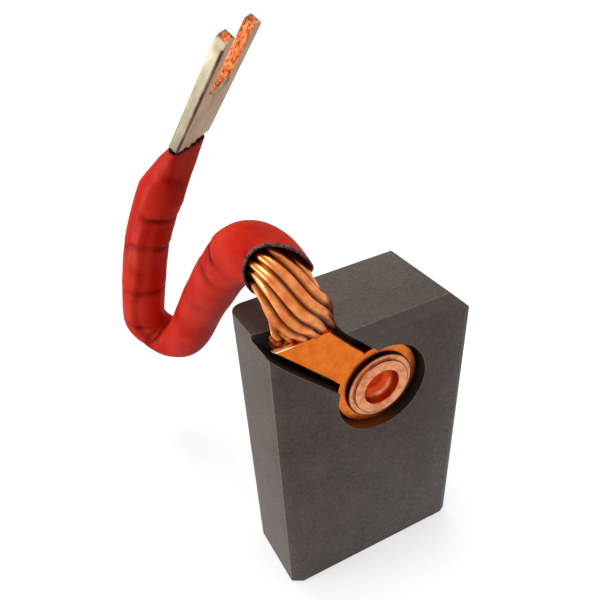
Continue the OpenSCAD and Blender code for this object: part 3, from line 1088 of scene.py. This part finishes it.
@dataclass
class Fastening:
    """The connector, its rivet and washer.

    The tube's sizes are in the slot's frame, from the eye to the far end. A
    rounding says whether its edge is at the back and at the upper side, then
    gives its size and steps. The trim is the box cut away behind the flap.
    """

    axis: Triple = (1.5, -8.7, 59.4)
    eye_r: float = 10.7
    eye_t: float = 2.4
    hole_r: float = 5.5
    half_w: float = 4.45
    flat_d: float = 2.34
    reach: float = 42.0
    far_d: float = 8.44
    far_low: float = 4.0
    far_high: float = 6.8
    top: float = 19.6
    wall: float = 1.0
    tube_from: float = 4.0
    bore_from: float = 19.0
    clear: float = 0.02
    trim: tuple[Triple, Triple] = ((-32, -7.55, 77.5), (0, 6, 82))
    roundings: tuple[tuple[bool, bool, float, int], ...] = (
        (False, False, 0.45, 3), (False, True, 0.75, 4), (True, False, 1.1, 6), (True, True, 1.1, 6),
    )
    lip_front: float = -11.0
    lip_r: float = 7.3
    lip_t: float = 1.1
    hollow_r: float = 4.6
    hollow: float = 4.0
    shank_to: float = 7.9
    head_r: float = 8.0
    head_t: float = 1.8
    washer_r: float = 8.7
    washer_hole: float = 5.55

    def slot_frame(self) -> Matrix:
        """Give the slot's frame: x up the slot, y into the block, z down to the left."""
        root = math.sqrt(0.5)
        turn = Matrix(((-root, 0, -root), (0, 1, 0), (root, 0, -root))).to_4x4()
        return Matrix.Translation(Vector(self.axis) * MM) @ turn

    def taper(self, start: float, wall: float) -> bpy.types.Object:
        """Model a rounded prism that opens from the eye towards the mouth.

        Args:
            start: Where it starts along the slot, in millimetres.
            wall: How far it lies inside the tube's outer faces.

        Returns:
            The prism, in the slot's frame.
        """
        share = (start - self.tube_from) / (self.reach - self.tube_from)
        depth = self.flat_d + share * (self.far_d - self.flat_d)
        low = self.half_w + share * (self.far_low - self.half_w)
        high = self.half_w + share * (self.far_high - self.half_w)
        obj = box((start, self.clear + wall, wall - high), (self.reach, depth - wall, low - wall))
        edit(obj)
        for test, y, z in (
            (lambda p: p.y > 0.03 + wall, self.far_d - depth, 0),
            (lambda p: p.z < 0, 0, high - self.far_high),
            (lambda p: p.z > 0, 0, self.far_low - low),
        ):
            pick(obj, "verts", lambda p: p.x > self.reach - 1 and test(p))
            bpy.ops.transform.translate(value=(0, y * MM, z * MM))
        middle = (depth + self.clear) / 2
        for back, upper, offset, steps in self.roundings:
            bevel(obj, lambda p: (p.y > middle) == back and (p.z < 0) == upper, offset, steps, True)
        done()
        return obj

    def tube(self) -> bpy.types.Object:
        """Model the tube: flat at the eye, open and cut level at its mouth."""
        obj = self.taper(self.tube_from, 0.0)
        edit(obj)
        bpy.ops.mesh.select_all(action="SELECT")
        up = Vector((math.sqrt(0.5), 0, -math.sqrt(0.5)))
        at = Vector((self.top * math.sqrt(2), 0, 0)) * MM
        bpy.ops.mesh.bisect(plane_co=at, plane_no=up, use_fill=True, clear_outer=True)
        done()
        combine(obj, self.taper(self.bore_from, self.wall), Join.CUT)
        return obj

    def connector(self) -> bpy.types.Object:
        """Model the whole connector."""
        obj = self.tube()
        combine(obj, drum(self.eye_r, (0, 0, 0), (0, self.eye_t, 0), 128), Join.ADD)
        combine(obj, drum(self.hole_r, (0, -1, 0), (0, self.eye_t + 1, 0), 96), Join.CUT)
        obj.name = obj.data.name = "connector_tongue"
        obj.matrix_world = self.slot_frame()
        activate(obj)
        settle()
        combine(obj, box(*self.trim), Join.CUT)
        soften(obj, width_mm=0.25, segments=3, angle_deg=40)
        return obj

    def build(self, sheet: SheetCopper, rolled: RolledCopper) -> None:
        """Model the copper pieces that are fixed in the block."""
        dress(self.connector(), "copper", "connector", sheet.build())
        made = rolled.build()
        dress(self.washer(), "copper", "washer", made)
        dress(self.rivet(), "copper", "rivet", made)

    def from_axis(self, p: Vector) -> float:
        """Give a point's distance from the rivet's axis, in millimetres."""
        return math.hypot(p.x - self.axis[0], p.z - self.axis[2])

    def washer(self) -> bpy.types.Object:
        """Turn the washer: a ring with a rounded outer edge."""
        x, _, z = self.axis
        front = self.lip_front + self.lip_t
        obj = drum(self.washer_r, (x, front, z), (x, self.axis[1], z), 128)
        edit(obj)
        pick(obj, "faces", lambda c, n: abs(n.y) > 0.9)
        bpy.ops.mesh.inset(thickness=(self.washer_r - self.washer_hole) * MM)
        bpy.ops.mesh.bridge_edge_loops()
        bevel(obj, lambda p: p.y < front + 0.01 and self.from_axis(p) > self.washer_r - 0.1, 0.35, 4)
        done()
        return self.turned(obj, "lip_washer")

    def rivet(self) -> bpy.types.Object:
        """Turn the rivet: a rolled lip with its hollow, the shank and the head."""
        x, _, z = self.axis
        back = self.lip_front + self.lip_t
        obj = drum(self.lip_r, (x, self.lip_front, z), (x, back, z), 128)
        edit(obj)
        pick(obj, "faces", lambda c, n: n.y < -0.9)
        bpy.ops.mesh.inset(thickness=(self.lip_r - self.hollow_r) * MM)
        pull(self.hollow)
        pick(obj, "faces", lambda c, n: n.y > 0.9)
        bpy.ops.mesh.inset(thickness=(self.lip_r - self.hole_r) * MM)
        pull(self.shank_to - back)
        pull(0)  # a ring that widens into the head
        grow = self.head_r / self.hole_r
        pivot = Vector((x, self.shank_to, z)) * MM
        bpy.ops.transform.resize(value=(grow, 1, grow), center_override=pivot)
        pull(self.head_t)
        for level, inner, outer, width, steps in (
            (self.lip_front + self.hollow, 4.0, 5.0, 2.4, 8),
            (self.lip_front, 4.0, 5.0, 0.6, 6),
            (self.lip_front, 7.0, 7.5, 0.85, 7),
            (self.shank_to + self.head_t, 7.5, 8.5, 1.0, 5),
        ):
            bevel(obj, lambda p: abs(p.y - level) < 0.1 and inner < self.from_axis(p) < outer, width, steps)
        done()
        return self.turned(obj, "tubular_rivet")

    def turned(self, obj: bpy.types.Object, name: str) -> bpy.types.Object:
        """Name and shade a turned piece."""
        obj.name = obj.data.name = name
        activate(obj)
        bpy.ops.object.shade_smooth_by_angle(angle=math.radians(30))
        return obj


@dataclass
class Terminal:
    """The slotted terminal, tinned, with bared copper where it was cut."""

    place: TerminalFinish
    width: float = 12.8
    length: float = 35.5
    thick: float = 2.7
    slot_w: float = 6.6
    slot_at: float = 20.5
    corner: float = 1.2
    arc_edge: float = 0.9
    rim: float = 0.2
    dish: float = -0.15

    def cut_end(self, c: Vector, n: Vector) -> bool:
        """Tell whether a face is the cut end of a prong."""
        return n.y > 0.9 and c.y > self.length - 1

    def by_arc(self, p: Vector) -> bool:
        """Tell whether a point lies on the slot's round end."""
        return abs(math.hypot(p.x, p.y - self.slot_at) - self.slot_w / 2) < 0.05

    def bare(self, c: Vector, n: Vector) -> bool:
        """Tell whether a face is a prong's cut end or a wall of the slot."""
        wall = abs(n.x) > 0.9 and abs(c.x) < self.slot_w / 2 + 0.05 and c.y > self.slot_at
        arc = abs(n.z) < 0.1 and math.hypot(c.x, c.y - self.slot_at) < self.slot_w / 2 + 0.05
        return wall or arc or (self.cut_end(c, n) and c.y < self.length - 0.1)

    def build(self, tin: TinPlate, bare: SawnCopper) -> bpy.types.Object:
        """Model the terminal and bare its cut faces."""
        half, thick, slot = self.width / 2, self.thick / 2, self.slot_w / 2
        past = 4
        obj = box((-half, 0, -thick), (half, self.length, thick))
        combine(obj, drum(slot, (0, self.slot_at, -past), (0, self.slot_at, past), 64), Join.CUT)
        combine(obj, box((-slot, self.slot_at, -past), (slot, self.length + 2, past)), Join.CUT)
        edit(obj)
        bevel(obj, lambda p: p.y > self.length - 0.1 and abs(p.x) > half - 0.1, self.corner, 2)
        bevel(
            obj,
            lambda p: p.z > thick - 0.01 and p.y < self.slot_at + 0.1 and self.by_arc(p),
            self.arc_edge,
            3,
        )
        done()
        soften(obj, width_mm=0.3, segments=3, angle_deg=50)
        edit(obj)
        pick(obj, "faces", self.cut_end)
        bpy.ops.mesh.inset(thickness=self.rim * MM, depth=self.dish * MM)
        obj.data.materials.clear()
        done()
        obj.name = obj.data.name = "slotted_terminal"
        dress(obj, "tinned", "terminal", tin.build(), bare.build())
        for face in obj.data.polygons:
            if self.bare(face.center / MM, face.normal):
                face.material_index = 1
        turn = Matrix.Identity(3)
        for angle, axis in zip(self.place.turn, "XYZ"):
            turn = Matrix.Rotation(angle, 3, axis) @ turn
        obj.matrix_world = Matrix.Translation(self.place.base) @ turn.to_4x4()
        activate(obj)
        settle()
        return obj


@dataclass
class Studio:
    """Floor, backdrop, lamps and camera."""

    eye_mm: Triple = (-63.7, -100.6, 159.7)
    spin: float = 2.2311
    spin_about: Triple = (2.1552, -0.5538, 0.1608)
    sensor: float = 36.0
    lens: float = 38.4
    shift: tuple[float, float] = (0.0568, 0.0604)
    clip: float = 0.005
    floor_size: float = 4.0
    floor_under: float = 0.0002
    paper: float = 0.72
    ambient: float = 0.3
    lamps: tuple[tuple[str, Triple, float], ...] = (
        ("overhead", (0.0, 0.1, 0.7), 2.1), ("side", (-0.6, 0.15, 0.06), 2.8),
    )
    lamp_size: float = 0.3
    aim: Triple = (0, 0.02, 0.06)

    def camera(self) -> None:
        """Set the camera at the object's viewing angle."""
        data = bpy.data.cameras.new("camera")
        data.sensor_width = self.sensor
        data.lens = self.lens
        data.shift_x, data.shift_y = self.shift
        data.clip_start = self.clip
        obj = link("camera", data)
        turn = Matrix.Rotation(self.spin, 3, Vector(self.spin_about).normalized())
        right, down, ahead = turn[0], turn[1], turn[2]
        rows = Matrix((right, -down, -ahead)).transposed()
        obj.matrix_world = Matrix.Translation(Vector(self.eye_mm) * MM) @ rows.to_4x4()
        bpy.context.scene.camera = obj

    def seen(self, graph: Graph, target: Socket, lit: float, shown: Socket | float) -> None:
        """Set a strength that is one value for light and another for what is seen.

        Args:
            graph: The node tree that the target is in.
            target: The strength socket to feed.
            lit: The strength with which it lights the object.
            shown: The strength that the camera and mirrors see, or its socket.
        """
        path = graph.node("LightPath").outputs
        direct = graph.math("MAXIMUM", path["Is Camera Ray"], path["Is Glossy Ray"])
        shows = graph.math("MAXIMUM", direct, path["Is Transmission Ray"])
        hidden = graph.math("MULTIPLY", graph.math("SUBTRACT", 1.0, shows), lit)
        graph.feed(target, graph.math("ADD", graph.math("MULTIPLY", shows, shown), hidden))

    def floor(self) -> None:
        """Lay the pale floor, which is seen brighter further away."""
        bpy.ops.mesh.primitive_plane_add(size=self.floor_size, location=(0, 0, -self.floor_under))
        floor = bpy.context.object
        floor.name = "studio_floor"
        deselect()
        on = surface("studio_paper")
        on.put({"Base Color": grey(self.paper), "Roughness": 0.9, "Emission Color": grey(1.0)})
        away = on.length(on.node("TexCoord").outputs["Object"])
        glow = on.fade(away, low=0.15, high=0.9, start=0.6, end=1.0)
        strength = on.tree.nodes["Principled BSDF"].inputs["Emission Strength"]
        self.seen(on, strength, 0.0, glow)
        floor.data.materials.append(on.material)

    def world(self) -> None:
        """Make the world: white where it is seen, dim as a light."""
        world = bpy.data.worlds.new("studio_world")
        bpy.context.scene.world = world
        world.use_nodes = True
        background = world.node_tree.nodes["Background"]
        background.inputs["Color"].default_value = grey(1.0)
        self.seen(Graph(world.node_tree), background.inputs["Strength"], self.ambient, 1.0)

    def lamp(self, name: str, place: Triple, watts: float) -> None:
        """Hang one square softbox that looks at the object."""
        data = bpy.data.lights.new(name, "AREA")
        data.size = self.lamp_size
        data.energy = watts
        obj = link(name, data)
        obj.location = place
        obj.rotation_euler = (Vector(self.aim) - Vector(place)).to_track_quat("-Z", "Y").to_euler()

    def build(self) -> None:
        """Set the stage."""
        bpy.context.scene.view_settings.view_transform = "Standard"
        self.floor()
        self.world()
        for lamp in self.lamps:
            self.lamp(*lamp)


def main() -> None:
    """Build the brush, piece by piece."""
    logging.basicConfig(level=logging.INFO, format="%(name)s %(message)s")
    studio = Studio()
    studio.camera()
    route = Route()
    rope = ShuntRope(route).build(DrawnWire())
    sleeving = Sleeving(route).build(VarnishedSleeving(), CutYarn())
    tin = TinPlate()
    terminal = Terminal(tin).build(tin, SawnCopper())
    stations = [route.last * i / 36 for i in range(37)]
    length = route.lengths([route.last * i / 200 for i in range(201)])[-1] * MM
    tuple(route.at(0) * MM)
    [tuple(route.at(s) * MM) for s in stations]
    CarbonBlock().build(Electrographite(), MilledGraphite())
    Fastening().build(SheetCopper(), RolledCopper())
    for name in ("rope_root", "rope_tip"):
        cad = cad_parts[name]
        cad.data.materials.clear()
        cad.data.materials.append(bpy.data.materials["copper_sawn"])
    LOG.info("rope: %.4f m", length)
    studio.build()


if __name__ == "__main__":
    main()
